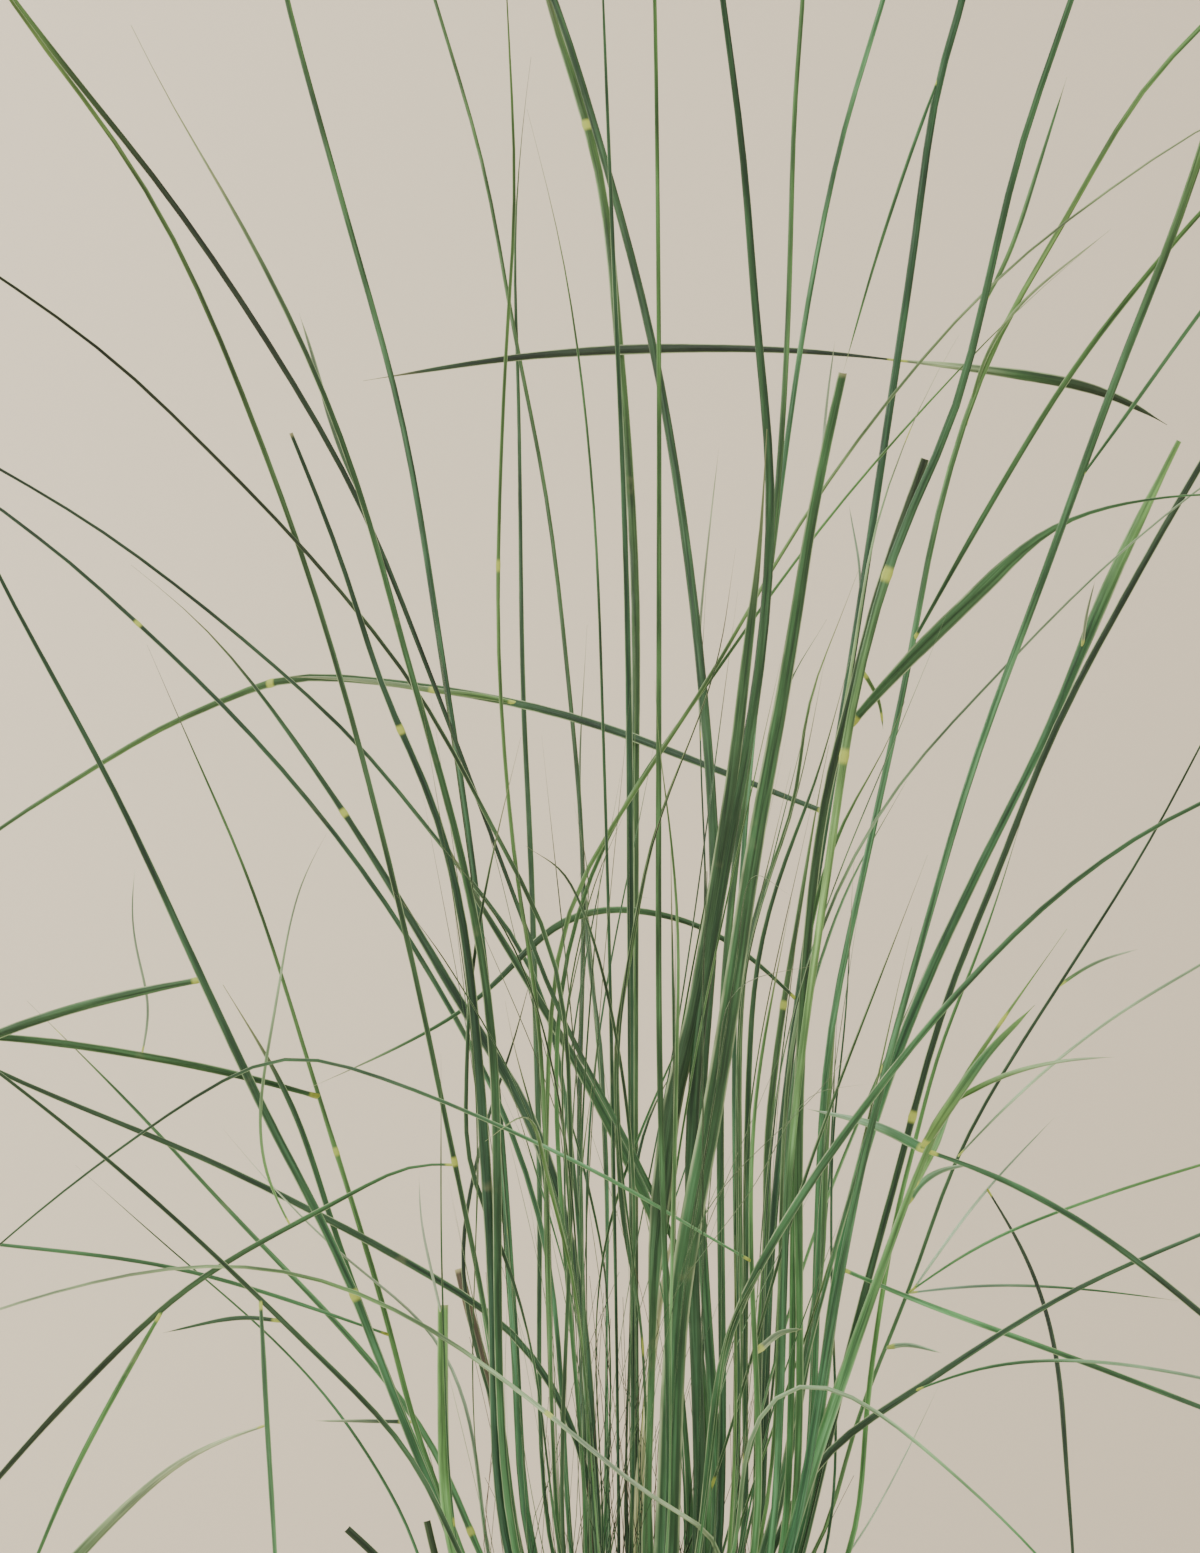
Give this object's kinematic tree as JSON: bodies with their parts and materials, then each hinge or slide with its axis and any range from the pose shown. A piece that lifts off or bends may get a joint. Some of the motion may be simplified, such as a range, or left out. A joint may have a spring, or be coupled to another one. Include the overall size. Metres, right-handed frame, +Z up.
{
  "type": "potted ornamental grass",
  "caption": "Clumping ornamental grass with narrow arching leaves and airy white plumes, rooted in soil in a plain round pot.",
  "frame": {"origin": "centre of the pot's flat underside", "axes": "+Z up along the pot's axis; the pictured side faces -Y, with +X to its right"},
  "size_m": [0.78, 0.6261, 0.982],
  "materials": {
    "pot": "matt",
    "soil": "rough",
    "leaf": "satin",
    "plume": "matt"
  },
  "bodies": {
    "root": {"pot": "pot", "soil": "soil", "tiller_01": "leaf", "tiller_02": "leaf", "tiller_03": "leaf", "tiller_04": "leaf", "tiller_05": "leaf", "tiller_06": "leaf", "tiller_07": "leaf", "tiller_08": "leaf", "tiller_09": "leaf", "tiller_10": "leaf", "tiller_11": "leaf", "tiller_12": "leaf", "tiller_13": "leaf", "tiller_14": "leaf", "tiller_15": "leaf", "tiller_16": "leaf", "tiller_17": "leaf", "tiller_18": "leaf", "tiller_19": "leaf", "tiller_20": "leaf", "tiller_21": "leaf", "tiller_22": "leaf", "tiller_23": "leaf", "tiller_24": "leaf", "tiller_25": "leaf", "tiller_26": "leaf", "tiller_27": "leaf", "tiller_28": "leaf", "tiller_29": "leaf", "tiller_30": "leaf", "tiller_31": "leaf", "tiller_32": "leaf", "tiller_33": "leaf", "tiller_34": "leaf", "tiller_35": "leaf", "tiller_36": "leaf", "tiller_37": "leaf", "tiller_38": "leaf", "tiller_39": "leaf", "tiller_40": "leaf", "tiller_41": "leaf", "tiller_42": "leaf", "tiller_43": "leaf", "tiller_44": "leaf", "plume_07": "plume", "plume_12": "plume", "plume_16": "plume", "plume_17": "plume", "plume_18": "plume", "plume_19": "plume", "plume_22": "plume", "plume_23": "plume", "plume_25": "plume", "plume_26": "plume", "plume_28": "plume", "plume_29": "plume"}
  },
  "joints": []
}
